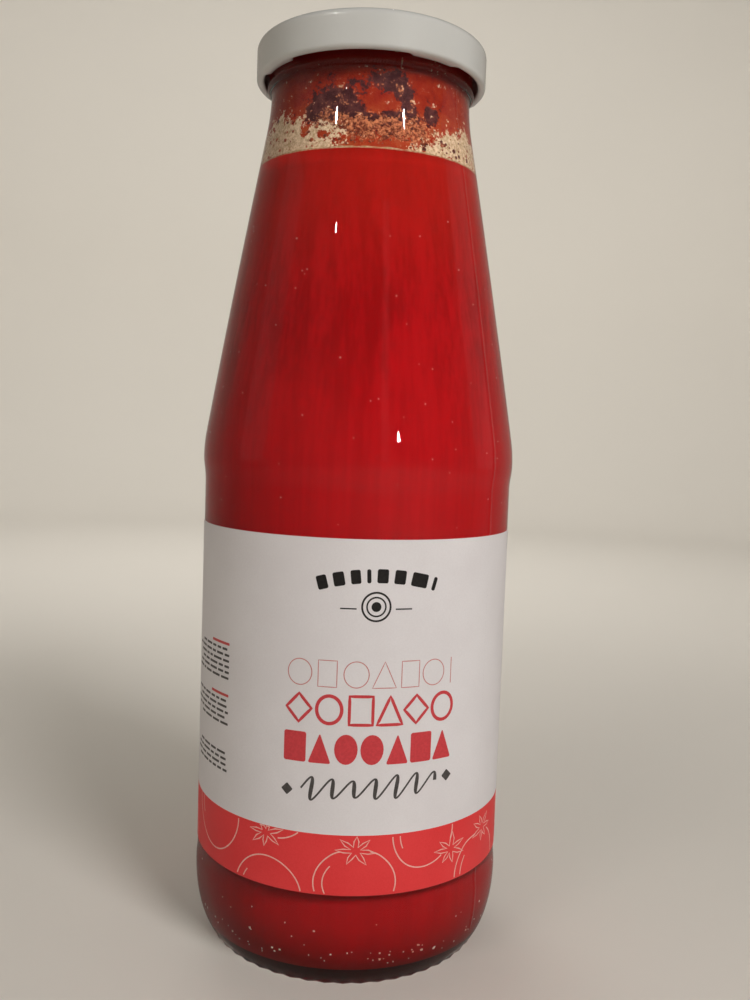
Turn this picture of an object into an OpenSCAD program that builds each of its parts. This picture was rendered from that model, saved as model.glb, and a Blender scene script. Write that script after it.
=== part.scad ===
// Passata bottle: a glass bottle with a paper wrap label and a twist-off lid, filled up to its neck.
// Millimetres, +Z up. The origin is on the table under the bottle's axis, and -Y is the label's front.

/* [Bottle body] */
// Height of the glass, from the table to the rim of the mouth
bottle_h = 220; // [180:0.5:270]
// Diameter of the glass where the label lies
panel_d = 76.8; // [62:0.1:94]
// Thickness of the glass in the body and the neck
wall = 2.3; // [1.5:0.1:3.2]
// How far the shoulder ring stands out from the label panel
shoulder_proud = 0.5; // [0.2:0.05:1]
// How far the heel stands out from the label panel
heel_proud = 0.25; // [0.1:0.05:0.6]
// Radius of the curve that turns the shoulder ring into the neck
shoulder_round = 36; // [20:1:60]
// How far the long neck bulges out of a straight line
neck_crown = 0.2; // [0:0.05:0.6]

/* [Bottle base] */
// Height of the rounded heel
heel_h = 17; // [12:0.5:19]
// Distance from the outside of the heel in to the ring that the bottle stands on
heel_inset = 6.9; // [4:0.1:10]
// Width of the flat ring that the bottle stands on
bearing_w = 1.6; // [1:0.1:3]
// Height of the hollow under the base, at its middle
punt_h = 3.4; // [1.5:0.1:6]
// Thickness of the glass in the base
base_t = 4.4; // [3:0.1:7]
// Height of the rounded corner inside the base
inner_heel_h = 12; // [8:0.5:14]

/* [Bottle mouth] */
// Diameter of the glass between the threads
finish_d = 50.2; // [41:0.1:62]
// Height of the mouth, from the bead under the lid to the rim
finish_h = 11; // [10.5:0.1:14]
// Height over which the neck turns upright below the mouth
throat_h = 9.8; // [6:0.1:14]
// How far the neck is set in from the glass between the threads
throat_inset = 0.65; // [0.3:0.05:1.2]
// How far the bead below the threads stands out
bead_proud = 0.35; // [0.15:0.05:0.5]
// Height of the bead
bead_h = 1.8; // [1:0.1:2.2]
// Radius on both edges of the rim
rim_round = 1.1; // [0.5:0.1:1.3]
// How far a thread stands out of the glass
thread_proud = 0.85; // [0.5:0.05:1.2]
// Height of a thread at its root
thread_h = 1.6; // [1:0.1:2]
// Angle that one thread covers
thread_span = 58; // [40:1:70]
// Slope of a thread
thread_tilt = 5; // [2:0.5:6]
// Number of threads, and of lugs on the lid
thread_count = 4; // [3:1:5]

/* [Contents] */
// Free height between the passata and the rim of the mouth
headspace = 30; // [24:0.5:60]
// Clearance between the passata and the glass
fill_gap = 0.1; // [0.05:0.05:0.3]

/* [Label] */
// Height of the label's lower edge above the table
label_z = 23.8; // [22:0.1:34]
// Height of the label
label_h = 80.2; // [60:0.1:98]
// Thickness of the label's paper
paper_t = 0.1; // [0.05:0.01:0.3]
// Clearance between the label and the glass
label_gap = 0.02; // [0.01:0.01:0.1]
// Width by which the label's ends lap at the back
label_lap = 6; // [2:0.5:12]
// Bare panel below the label
label_margin = 2; // [1:0.5:4]
// Distance from the label's upper edge to the widest line of the shoulder ring
shoulder_rise = 16; // [12:0.5:24]
// Height over which the shoulder ring swells out of the panel
shoulder_swell = 6; // [3:0.5:9]

/* [Lid] */
// Thickness of the lid's sheet steel
sheet = 0.25; // [0.15:0.01:0.4]
// Diameter of the rolled edge
curl_d = 2; // [1.6:0.1:2.6]
// Clearance between the threads and the rolled edge
curl_gap = 0.25; // [0.1:0.05:0.5]
// Distance from the rim of the mouth down to the lower side of the rolled edge
skirt_h = 8.7; // [8.2:0.1:9.2]
// Outside radius of the lid's shoulder
lid_round = 1.7; // [1:0.1:2.2]
// Depth of the sunk middle of the lid
lid_sink = 0.8; // [0.3:0.05:1.2]
// Clearance between the sunk middle and the inside of the mouth
sink_gap = 0.4; // [0.2:0.1:1]
// Diameter of the safety button in the middle
button_d = 20; // [14:0.5:26]
// Depth of the safety button
button_sink = 0.45; // [0.2:0.05:0.8]
// Width of the slopes round the sunk middle and the button
slope_w = 1.2; // [0.8:0.1:2]
// Angle that one lug covers
lug_span = 26; // [16:1:32]
// Height of a lug
lug_h = 1; // [0.7:0.1:1.2]
// Clearance between a lug and the glass between the threads
lug_gap = 0.25; // [0.1:0.05:0.4]
// Clearance between a lug and the thread over it
thread_gap = 0.7; // [0.4:0.1:1]
// Direction of the first lug
lug_turn = 25; // [0:1:90]

/* [Hidden] */
$fn = 128;
arc_steps = 10;
// How far a cutting shape runs past what it cuts
cut = 1;

panel_r = panel_d / 2;
panel_bottom = label_z - label_margin;
shoulder_z = label_z + label_h + shoulder_rise;
panel_top = shoulder_z - shoulder_swell;
shoulder_r = panel_r + shoulder_proud;
heel_r = panel_r + heel_proud;
bearing_r = heel_r - heel_inset;
inner_r = panel_r - wall;
finish_r = finish_d / 2;
finish_z = bottle_h - finish_h;
throat_r = finish_r - throat_inset;
throat_z = finish_z - throat_h;
bore_r = throat_r - wall;
bead_r = bead_h / 2;
bead_cr = finish_r + bead_proud - bead_r;
thread_r = finish_r + thread_proud;
fill_z = bottle_h - headspace;

curl_r = curl_d / 2;
lid_r = thread_r + curl_gap + curl_d;
lid_z = bottle_h + sheet;
curl_cr = lid_r - curl_r;
curl_z = bottle_h - skirt_h + curl_r;
lug_r = finish_r + lug_gap;
lug_z = bottle_h - skirt_h;
thread_rise = thread_r * sin(thread_span / 2) * sin(thread_tilt);
thread_z = lug_z + lug_h + thread_gap + thread_rise + thread_h / 2;

// The neck leaves the shoulder curve at this angle and meets the throat without a corner.
// Each pass brings the angle closer to the one that fits.
neck_passes = 8;
function neck_start_r(a) = shoulder_r - shoulder_round * (1 - cos(a));
function neck_start_z(a) = shoulder_z + shoulder_round * sin(a);
function neck_len(a) = throat_z - neck_start_z(a);
function neck_end_slope(a) = tan(a) + 8 * neck_crown / neck_len(a);
function neck_end_r(a) = throat_r + neck_end_slope(a) * throat_h / 2;
function neck_fit(a, passes) =
    passes == 0 ? a :
    neck_fit(atan((neck_start_r(a) - neck_end_r(a) - 4 * neck_crown) / neck_len(a)), passes - 1);
neck_a = neck_fit(10, neck_passes);

function arc(cr, cz, rr, rz, from, to) =
    [for (i = [0 : arc_steps])
        let (a = from + (to - from) * i / arc_steps)
        [cr + rr * cos(a), cz + rz * sin(a)]];

// A soft step from radius r0 at height z0 to radius r1 at height z1
function swell(r0, z0, r1, z1) =
    [for (i = [0 : arc_steps])
        let (t = i / arc_steps)
        [r0 + (r1 - r0) * (1 - cos(180 * t)) / 2, z0 + (z1 - z0) * t]];

function neck_point(t) =
    [neck_start_r(neck_a) * (1 - t) + neck_end_r(neck_a) * t + 4 * neck_crown * t * (1 - t),
     neck_start_z(neck_a) + neck_len(neck_a) * t];

function throat_point(t) =
    [neck_end_r(neck_a) + (throat_r - neck_end_r(neck_a)) * (2 - t) * t, throat_z + throat_h * t];

// The long neck and the throat above it, going up, set in by d
function neck_line(d) = concat(
    [for (i = [1 : arc_steps]) neck_point(i / arc_steps) - [d, 0]],
    [for (i = [1 : arc_steps]) throat_point(i / arc_steps) - [d, 0]]);

function reversed(points) = [for (i = [len(points) - 1 : -1 : 0]) points[i]];

// The outside of the glass, from the middle of the base up to the rim
function outer_line() = concat(
    arc(0, 0, bearing_r - bearing_w, punt_h, 90, 0),
    arc(bearing_r, heel_h, heel_inset, heel_h, -90, 0),
    swell(heel_r, heel_h + 1, panel_r, panel_bottom),
    swell(panel_r, panel_top, shoulder_r, shoulder_z),
    arc(shoulder_r - shoulder_round, shoulder_z, shoulder_round, shoulder_round, 0, neck_a),
    neck_line(0),
    arc(bead_cr, finish_z + bead_r, bead_r, bead_r, -90, acos((finish_r - bead_cr) / bead_r)),
    arc(finish_r - rim_round, bottle_h - rim_round, rim_round, rim_round, 0, 90));

// The inside of the glass, from the mouth down to the middle of the base, set in by d
function inner_line(d) =
    let (r = inner_r - d, floor_z = base_t + d, floor_r = r - heel_inset)
    concat(
        reversed(neck_line(wall + d)),
        arc(r - shoulder_round, shoulder_z, shoulder_round, shoulder_round, neck_a, 0),
        arc(floor_r, floor_z + inner_heel_h, heel_inset, inner_heel_h, 0, -90),
        [for (i = [arc_steps - 1 : -1 : 0])
            let (t = i / arc_steps)
            [floor_r * t, floor_z + punt_h * (1 - t * t)]]);

module thread() {
    root_r = finish_r - wall / 4;
    crest_h = thread_h * 0.4;
    rotate([thread_tilt, 0, 0])
        rotate([0, 0, -thread_span / 2])
            rotate_extrude(angle = thread_span)
                polygon([[root_r, -thread_h / 2],
                         [thread_r, -crest_h / 2],
                         [thread_r, crest_h / 2],
                         [root_r, thread_h / 2]]);
}

module bottle() {
    color([0.86, 0.92, 0.9, 0.35]) {
        rotate_extrude()
            polygon(concat(
                outer_line(),
                arc(bore_r + rim_round, bottle_h - rim_round, rim_round, rim_round, 90, 180),
                inner_line(0)));
        for (i = [0 : thread_count - 1])
            rotate([0, 0, lug_turn + 360 * (i + 0.5) / thread_count])
                translate([0, 0, thread_z])
                    thread();
    }
}

module passata() {
    color([0.63, 0.09, 0.08])
        intersection() {
            rotate_extrude()
                polygon(concat([[0, finish_z]], inner_line(fill_gap)));
            cylinder(r = panel_r, h = fill_z);
        }
}

// A wrap round the bottle, two layers thick only where its ends lap at the back
module label() {
    in_r = panel_r + label_gap;
    wrap_r = in_r + paper_t;
    color([0.84, 0.82, 0.82])
        translate([0, 0, label_z])
            difference() {
                cylinder(r = wrap_r + paper_t, h = label_h);
                translate([0, 0, -cut])
                    cylinder(r = in_r, h = label_h + 2 * cut);
                difference() {
                    translate([0, 0, -cut])
                        cylinder(r = wrap_r + cut, h = label_h + 2 * cut);
                    translate([0, 0, -2 * cut])
                        cylinder(r = wrap_r, h = label_h + 4 * cut);
                    translate([-label_lap / 2, 0, -2 * cut])
                        cube([label_lap, panel_d, label_h + 4 * cut]);
                }
            }
}

// The lid's sheet: the button, the sunk middle, the ring over the rim, the skirt and its rolled edge
module lid_sheet() {
    ring_r = bore_r - sink_gap;
    sunk_z = lid_z - lid_sink;
    button_z = sunk_z - button_sink;
    button_r = button_d / 2;
    under_round = lid_round - sheet;
    in_curl = curl_r - sheet;
    rotate_extrude()
        polygon(concat(
            [[0, button_z],
             [button_r - slope_w, button_z],
             [button_r, sunk_z],
             [ring_r - slope_w, sunk_z],
             [ring_r, lid_z]],
            arc(lid_r - lid_round, lid_z - lid_round, lid_round, lid_round, 90, 0),
            arc(curl_cr, curl_z, curl_r, curl_r, 0, -135),
            arc(curl_cr, curl_z, curl_r, curl_r, -150, -285),
            arc(curl_cr, curl_z, in_curl, in_curl, -285, -150),
            arc(curl_cr, curl_z, in_curl, in_curl, -135, 0),
            arc(lid_r - lid_round, lid_z - lid_round, under_round, under_round, 0, 90),
            [[ring_r + sheet / 2, bottle_h],
             [ring_r - slope_w + sheet / 2, sunk_z - sheet],
             [button_r + sheet / 2, sunk_z - sheet],
             [button_r - slope_w + sheet / 2, button_z - sheet],
             [0, button_z - sheet]]));
}

// One lug: a stretch of the rolled edge, pressed flat and in under a thread
module lug() {
    lug_w = curl_cr - lug_r;
    nose = lug_h / 2;
    rotate([0, 0, -lug_span / 2])
        rotate_extrude(angle = lug_span)
            translate([lug_r, lug_z])
                polygon(concat(arc(nose, nose, nose, nose, 270, 90), [[lug_w, lug_h], [lug_w, 0]]));
}

module lid() {
    color([0.8, 0.79, 0.77]) {
        lid_sheet();
        for (i = [0 : thread_count - 1])
            rotate([0, 0, lug_turn + 360 * i / thread_count])
                lug();
    }
}

bottle();
passata();
label();
lid();
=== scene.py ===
# Looks for the passata bottle: clear glass, sauce, paper wrap and a lacquered twist-off lid
import math
import random

import bpy
from mathutils import Matrix, Vector, noise


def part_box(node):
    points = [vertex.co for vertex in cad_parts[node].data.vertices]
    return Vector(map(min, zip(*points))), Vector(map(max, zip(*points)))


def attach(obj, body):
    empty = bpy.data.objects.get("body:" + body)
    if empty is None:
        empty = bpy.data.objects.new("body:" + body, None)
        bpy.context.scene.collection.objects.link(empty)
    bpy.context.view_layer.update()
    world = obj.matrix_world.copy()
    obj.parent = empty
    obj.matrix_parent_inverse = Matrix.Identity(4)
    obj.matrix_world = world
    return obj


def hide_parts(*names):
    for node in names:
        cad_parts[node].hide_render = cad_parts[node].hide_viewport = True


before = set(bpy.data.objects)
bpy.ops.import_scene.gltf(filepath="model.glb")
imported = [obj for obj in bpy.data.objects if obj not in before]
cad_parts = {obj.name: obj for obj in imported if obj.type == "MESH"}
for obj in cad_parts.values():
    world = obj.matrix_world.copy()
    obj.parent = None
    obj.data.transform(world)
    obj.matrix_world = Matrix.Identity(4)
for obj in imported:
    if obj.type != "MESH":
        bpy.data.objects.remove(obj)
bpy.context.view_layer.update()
mm = 0.001

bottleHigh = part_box("bottle")[1]
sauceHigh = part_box("passata")[1]
labelLow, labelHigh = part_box("label")
lidLow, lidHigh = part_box("lid")


def restTools():
    # Back to object mode with nothing selected
    if bpy.context.object and bpy.context.object.mode != "OBJECT":
        bpy.ops.object.mode_set(mode="OBJECT")
    bpy.ops.object.select_all(action="DESELECT")


def pickUp(piece):
    restTools()
    piece.select_set(True)
    bpy.context.view_layer.objects.active = piece


def settle(piece):
    # The place goes into the mesh, so that the object sits at the origin
    pickUp(piece)
    bpy.ops.object.transform_apply(location=True, rotation=True, scale=True)


def roundLine(centreR, centreZ, acrossR, upZ, fromAngle, toAngle, steps):
    line = []
    for step in range(steps + 1):
        angle = math.radians(fromAngle + (toAngle - fromAngle) * step / steps)
        line.append((centreR + acrossR * math.cos(angle), centreZ + upZ * math.sin(angle)))
    return line


def arcLine(centreR, centreZ, radius, fromAngle, toAngle, steps):
    return roundLine(centreR, centreZ, radius, radius, fromAngle, toAngle, steps)


def easeLine(r0, z0, r1, z1, steps):
    line = []
    for step in range(steps + 1):
        t = step / steps
        line.append((r0 + (r1 - r0) * (1 - math.cos(math.pi * t)) / 2, z0 + (z1 - z0) * t))
    return line


def straightLine(r0, z0, r1, z1, steps):
    return [(r0 + (r1 - r0) * s / steps, z0 + (z1 - z0) * s / steps) for s in range(steps + 1)]


def spinLine(name, line, steps):
    # One point is drawn out along the line, which is then spun round the bottle's axis
    restTools()
    bpy.context.tool_settings.mesh_select_mode = (True, False, False)
    clean = [line[0]]
    for point in line[1:]:
        if math.dist(point, clean[-1]) > 0.02:
            clean.append(point)
    start = clean[0]
    bpy.ops.mesh.primitive_plane_add(size=0.001, location=(start[0] * mm, 0, start[1] * mm))
    piece = bpy.context.object
    piece.name = name
    settle(piece)
    bpy.ops.object.mode_set(mode="EDIT")
    bpy.ops.mesh.select_all(action="SELECT")
    bpy.ops.mesh.merge(type="CENTER")
    for here, there in zip(clean, clean[1:]):
        move = ((there[0] - here[0]) * mm, 0, (there[1] - here[1]) * mm)
        bpy.ops.mesh.extrude_region_move(TRANSFORM_OT_translate={"value": move})
    bpy.ops.mesh.select_all(action="SELECT")
    bpy.ops.mesh.spin(steps=steps, angle=2 * math.pi, center=(0, 0, 0), axis=(0, 0, 1))
    bpy.ops.mesh.select_all(action="SELECT")
    bpy.ops.mesh.remove_doubles(threshold=0.000004)
    bpy.ops.mesh.normals_make_consistent(inside=False)
    bpy.ops.object.mode_set(mode="OBJECT")
    bpy.ops.object.shade_smooth()
    return piece


def startPicking():
    # Edge mode with nothing picked, for edges that are then picked one by one
    bpy.ops.object.mode_set(mode="EDIT")
    bpy.ops.mesh.select_all(action="DESELECT")
    bpy.ops.object.mode_set(mode="OBJECT")
    bpy.context.tool_settings.mesh_select_mode = (False, True, False)


def bevelPicked(offset, segments):
    bpy.ops.object.mode_set(mode="EDIT")
    bpy.ops.mesh.bevel(offset=offset * mm, segments=segments, affect="EDGES")
    bpy.ops.object.mode_set(mode="OBJECT")


def joinPieces(name, pieces):
    pickUp(pieces[0])
    for piece in pieces:
        piece.select_set(True)
    bpy.ops.object.join()
    joined = bpy.context.object
    joined.name = name
    settle(joined)
    return joined


def hold(piece, slot, *nodes):
    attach(piece, "root")
    if nodes:
        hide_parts(*nodes)


def bump(t):
    # A soft hump, 1 at 0 and gone at 1
    t = min(1.0, abs(t))
    return (1 + math.cos(math.pi * t)) / 2


def clamp(value):
    return min(1.0, max(0.0, value))


def polar(place):
    # Distance from the bottle's axis and height in mm, and the direction in degrees
    return math.hypot(place.x, place.y) / mm, place.z / mm, math.degrees(math.atan2(place.y, place.x))


def pushOut(vertex, grow):
    # Moves the point away from the bottle's axis, in mm
    share = 1 + grow * mm / math.hypot(vertex.co.x, vertex.co.y)
    vertex.co.x *= share
    vertex.co.y *= share


def turnBetween(angle, centre):
    # The shorter way round from one direction to another, in degrees
    return (angle - centre + 180) % 360 - 180


def newFinish(name):
    material = bpy.data.materials.new(name)
    material.use_nodes = True
    tree = material.node_tree
    tree.nodes.clear()
    out = tree.nodes.new("ShaderNodeOutputMaterial")
    shader = tree.nodes.new("ShaderNodeBsdfPrincipled")
    tree.links.new(shader.outputs[0], out.inputs["Surface"])
    return material, tree, shader, out


def setOn(shader, values):
    for key, value in values.items():
        shader.inputs[key].default_value = value


def placeMap(tree, stretch=(1, 1, 1)):
    where = tree.nodes.new("ShaderNodeTexCoord")
    mapping = tree.nodes.new("ShaderNodeMapping")
    mapping.inputs["Scale"].default_value = stretch
    tree.links.new(where.outputs["Object"], mapping.inputs["Vector"])
    return mapping.outputs[0]


def noiseOf(tree, vector, scale, detail=3.0, rough=0.55):
    texture = tree.nodes.new("ShaderNodeTexNoise")
    setOn(texture, {"Scale": scale, "Detail": detail, "Roughness": rough})
    tree.links.new(vector, texture.inputs["Vector"])
    return texture.outputs["Fac"]


def sumOf(tree, kind, first, second):
    node = tree.nodes.new("ShaderNodeMath")
    node.operation = kind
    for socket, value in zip(node.inputs, (first, second)):
        if isinstance(value, (int, float)):
            socket.default_value = value
        else:
            tree.links.new(value, socket)
    return node.outputs[0]


def shareOf(tree, *parts):
    # The parts are (value, share) pairs, added up
    total = None
    for value, share in parts:
        part = sumOf(tree, "MULTIPLY", value, share)
        total = part if total is None else sumOf(tree, "ADD", total, part)
    return total


def rangeOf(tree, value, fromLow, fromHigh, toLow=0.0, toHigh=1.0):
    node = tree.nodes.new("ShaderNodeMapRange")
    node.interpolation_type = "SMOOTHSTEP"
    setOn(node, {"From Min": fromLow, "From Max": fromHigh, "To Min": toLow, "To Max": toHigh})
    tree.links.new(value, node.inputs["Value"])
    return node.outputs[0]


def blendOf(tree, factor, first, second):
    node = tree.nodes.new("ShaderNodeMix")
    node.data_type = "RGBA"
    tree.links.new(factor, node.inputs["Factor"])
    for socket, value in ((node.inputs[6], first), (node.inputs[7], second)):
        if isinstance(value, tuple):
            socket.default_value = (*value, 1)
        else:
            tree.links.new(value, socket)
    return node.outputs[2]


def rampOf(tree, value, low, high, first, second):
    # One colour below low and the other above high
    return blendOf(tree, rangeOf(tree, value, low, high), first, second)


def heightOf(tree, spot):
    split = tree.nodes.new("ShaderNodeSeparateXYZ")
    tree.links.new(spot, split.inputs[0])
    return split.outputs["Z"]


def bumpOf(tree, height, strength, distance, shader):
    node = tree.nodes.new("ShaderNodeBump")
    setOn(node, {"Strength": strength, "Distance": distance})
    tree.links.new(height, node.inputs["Height"])
    tree.links.new(node.outputs[0], shader.inputs["Normal"])


def clearGlassFinish():
    material, tree, shader, out = newFinish("clearGlass")
    spot = placeMap(tree)
    setOn(shader, {"Transmission Weight": 1.0, "IOR": 1.5, "Specular IOR Level": 0.22})
    cloud = noiseOf(tree, spot, 60)
    tint = blendOf(tree, cloud, (0.96, 0.985, 0.97), (0.985, 0.995, 0.988))
    tree.links.new(tint, shader.inputs["Base Color"])
    haze = rangeOf(tree, noiseOf(tree, spot, 140, 4), 0.35, 0.75, 0.0, 0.008)
    tree.links.new(haze, shader.inputs["Roughness"])
    # Lamps shine through the glass without dark shadows
    passing = tree.nodes.new("ShaderNodeBsdfTransparent")
    passing.inputs["Color"].default_value = (0.94, 0.96, 0.95, 1)
    sight = tree.nodes.new("ShaderNodeLightPath")
    mixer = tree.nodes.new("ShaderNodeMixShader")
    tree.links.new(sight.outputs["Is Shadow Ray"], mixer.inputs[0])
    tree.links.new(shader.outputs[0], mixer.inputs[1])
    tree.links.new(passing.outputs[0], mixer.inputs[2])
    tree.links.new(mixer.outputs[0], out.inputs["Surface"])
    return material


def sauceFinish():
    # Smooth red with long faint streaks, more orange towards the neck and darker in the heel
    material, tree, shader, out = newFinish("passataSauce")
    spot = placeMap(tree)
    cloud = noiseOf(tree, placeMap(tree, (1, 1, 0.07)), 170, 3)
    fine = noiseOf(tree, spot, 900, 4, 0.65)
    thin = noiseOf(tree, placeMap(tree, (1, 1, 0.03)), 850, 2)
    mottle = shareOf(tree, (cloud, 0.42), (thin, 0.36), (fine, 0.22))
    tone = rampOf(tree, mottle, 0.39, 0.61, (0.30, 0.0012, 0.0032), (0.46, 0.0034, 0.0072))
    height = heightOf(tree, spot)
    for low, high, share, colour in ((0.150, 0.190, 0.55, (0.42, 0.016, 0.007)),
                                     (0.155, 0.115, 0.5, (0.56, 0.0050, 0.0100)),
                                     (0.030, 0.006, 0.6, (0.22, 0.0010, 0.0015))):
        near = rangeOf(tree, height, low, high)
        tone = blendOf(tree, sumOf(tree, "MULTIPLY", near, share), tone, colour)
    tree.links.new(tone, shader.inputs["Base Color"])
    setOn(shader, {"Roughness": 0.55, "Specular IOR Level": 0.0})
    bumpOf(tree, fine, 0.25, 0.0002, shader)
    return material


def bitFinish(name, scale, low, high, first, second, rough):
    # Small bits in two tones
    material, tree, shader, out = newFinish(name)
    shades = noiseOf(tree, placeMap(tree), scale)
    tree.links.new(rampOf(tree, shades, low, high, first, second), shader.inputs["Base Color"])
    setOn(shader, {"Roughness": rough})
    return material, tree, shader, shades


def foamFinish():
    tones = (0.42, 0.27, 0.12), (0.62, 0.46, 0.28)
    material, tree, shader, grain = bitFinish("driedFoam", 1500, 0.35, 0.65, *tones, 0.5)
    bumpOf(tree, grain, 0.4, 0.0002, shader)
    return material


def residueFinish():
    # Red film and cream foam on the inside of the neck, by the piece's own residue attribute. Where the
    # film is bare, a dark purple-brown is painted in: painted shade of the dark inside of the neck, seen
    # through the glass
    material, tree, shader, out = newFinish("neckResidue")
    spot = placeMap(tree)
    amounts = tree.nodes.new("ShaderNodeAttribute")
    amounts.attribute_name = "residue"
    split = tree.nodes.new("ShaderNodeSeparateColor")
    tree.links.new(amounts.outputs["Color"], split.inputs[0])
    rag = sumOf(tree, "SUBTRACT", noiseOf(tree, spot, 480, 5, 0.65), 0.5)
    grit = sumOf(tree, "SUBTRACT", noiseOf(tree, spot, 1300, 4, 0.7), 0.5)
    ragged = shareOf(tree, (rag, 2.2), (grit, 2.0))
    soft = shareOf(tree, (rag, 2.0), (grit, 1.6))
    foam = rangeOf(tree, sumOf(tree, "ADD", split.outputs[0], ragged), 0.42, 0.58)
    film = rangeOf(tree, sumOf(tree, "ADD", split.outputs[1], soft), 0.40, 0.60)
    crumbs = rangeOf(tree, sumOf(tree, "ADD", split.outputs[2], ragged), 0.55, 0.68)
    height = heightOf(tree, spot)
    lower = rangeOf(tree, height, 0.2035, 0.1965)
    underLid = rangeOf(tree, height, 0.2075, 0.2115)
    # Painted shade: the dark purple-brown of the bare patches stands for the shaded inside of the neck seen
    # through clear glass
    insideShadeTone = rampOf(tree, rag, -0.12, 0.12, (0.065, 0.014, 0.017), (0.150, 0.042, 0.040))
    highTone = rampOf(tree, rag, -0.2, 0.2, (0.29, 0.011, 0.004), (0.38, 0.030, 0.007))
    lowTone = rampOf(tree, rag, -0.2, 0.2, (0.40, 0.026, 0.008), (0.46, 0.078, 0.020))
    filmTone = blendOf(tree, lower, highTone, lowTone)
    filmTone = blendOf(tree, underLid, filmTone, (0.34, 0.008, 0.004))
    crumbTone = rampOf(tree, grit, -0.10, 0.14, (0.14, 0.022, 0.012), (0.72, 0.25, 0.11))
    foamTone = rampOf(tree, grit, -0.2, 0.2, (0.50, 0.33, 0.17), (0.92, 0.74, 0.52))
    tone = blendOf(tree, film, insideShadeTone, filmTone)
    tone = blendOf(tree, crumbs, tone, crumbTone)
    tone = blendOf(tree, foam, tone, foamTone)
    tree.links.new(tone, shader.inputs["Base Color"])
    thick = sumOf(tree, "MAXIMUM", crumbs, foam)
    cover = sumOf(tree, "MAXIMUM", rangeOf(tree, film, 0, 1, 0.93, 0.99), thick)
    tree.links.new(cover, shader.inputs["Alpha"])
    setOn(shader, {"Roughness": 0.5, "Specular IOR Level": 0.12})
    bumpOf(tree, ragged, 0.3, 0.0003, shader)
    return material


def paperFinish(name, pale, deep, rough):
    material, tree, shader, out = newFinish(name)
    spot = placeMap(tree)
    fibre = noiseOf(tree, spot, 2600, 3, 0.7)
    both = shareOf(tree, (noiseOf(tree, spot, 45, 3), 0.6), (fibre, 0.4))
    tree.links.new(rampOf(tree, both, 0.35, 0.65, deep, pale), shader.inputs["Base Color"])
    tree.links.new(rangeOf(tree, fibre, 0.3, 0.7, rough - 0.05, rough + 0.05), shader.inputs["Roughness"])
    setOn(shader, {"Specular IOR Level": 0.25})
    bumpOf(tree, fibre, 0.12, 0.00005, shader)
    return material


def lacquerFinish():
    material, tree, shader, out = newFinish("lidLacquer")
    cloud = noiseOf(tree, placeMap(tree), 40, 2)
    tone = blendOf(tree, cloud, (0.59, 0.595, 0.575), (0.63, 0.635, 0.615))
    tree.links.new(tone, shader.inputs["Base Color"])
    tree.links.new(rangeOf(tree, cloud, 0.0, 1.0, 0.26, 0.32), shader.inputs["Roughness"])
    setOn(shader, {"Coat Weight": 1.0, "Coat Roughness": 0.05})
    return material


def wallFinish():
    material, tree, shader, out = newFinish("paleStage")
    pale = blendOf(tree, noiseOf(tree, placeMap(tree), 3), (0.74, 0.71, 0.655), (0.77, 0.74, 0.685))
    # In reflections the room looks dimmer, as a room behind the viewer does
    sight = tree.nodes.new("ShaderNodeLightPath")
    tone = blendOf(tree, sight.outputs["Is Glossy Ray"], pale, (0.36, 0.33, 0.30))
    tree.links.new(tone, shader.inputs["Base Color"])
    setOn(shader, {"Roughness": 0.65, "Specular IOR Level": 0.2})
    return material


view = {"azimuth": -7.5, "away": 0.24599, "height": 0.12844, "down": 4.35, "roll": 2.01, "pan": 1.057,
        "lens": 34.64}


def placeCamera():
    azimuth = math.radians(view["azimuth"])
    bpy.ops.object.camera_add()
    camera = bpy.context.object
    camera.name = "viewCamera"
    camera.data.lens = view["lens"]
    camera.data.sensor_width = 36
    camera.data.clip_start = 0.01
    turn = Matrix.Rotation(azimuth - math.radians(view["pan"]), 4, "Z")
    tilt = Matrix.Rotation(math.radians(90 - view["down"]), 4, "X")
    roll = Matrix.Rotation(math.radians(view["roll"]), 4, "Z")
    away = view["away"]
    place = Matrix.Translation((away * math.sin(azimuth), -away * math.cos(azimuth), view["height"]))
    camera.matrix_world = place @ turn @ tilt @ roll
    bpy.context.scene.camera = camera
    bpy.context.scene.view_settings.view_transform = "Standard"
    print("camera placed")


stage = {"floorR": 1000, "curve": 350, "wallTop": 1500, "steps": 96}


def makeStage():
    rim = stage["floorR"] + stage["curve"]
    line = [(0, 0)] + straightLine(20, 0, stage["floorR"], 0, 12)
    line += arcLine(stage["floorR"], stage["curve"], stage["curve"], -90, 0, 14)
    line += straightLine(rim, stage["curve"] + 50, rim, stage["wallTop"], 6)
    cove = spinLine("stageCove", line, stage["steps"])
    cove.data.materials.append(wallFinish())
    print("stage:", len(cove.data.polygons), "faces")


# Directions are in degrees to the right of the label's front, heights in degrees above the table.
# The soft lamps light the bottle but aren't mirrored in it
lamps = {
    "keyLamp": {"turn": 28, "rise": 34, "size": 0.40, "power": 7.2, "tone": (1.0, 0.975, 0.955)},
    "sideLamp": {"turn": -46, "rise": 37, "size": 0.35, "power": 0.95, "tone": (1.0, 0.95, 0.90)},
    "backFill": {"turn": 190, "rise": 45, "size": 0.60, "power": 1.8, "tone": (1.0, 0.97, 0.94)},
}
# The small ones only make the sparkles on the glass
sparks = {
    "rightSpark": {"turn": 31, "rise": 39.7, "size": 0.020, "power": 0.35},
    "leftSpark": {"turn": -36, "rise": 33.0, "size": 0.018, "power": 0.12},
    "neckSpark": {"turn": -47, "rise": 40.2, "size": 0.036, "power": 1.4},
    "lowSpark": {"turn": 21, "rise": 17, "size": 0.050, "power": 0.6},
    "backSpark": {"turn": 170, "rise": 34, "size": 0.030, "power": 0.40},
}
lampAway, sparkAway, sparkTone, stripTone = 1.15, 1.20, (1.0, 0.97, 0.92), (1.0, 0.96, 0.93)
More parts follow.
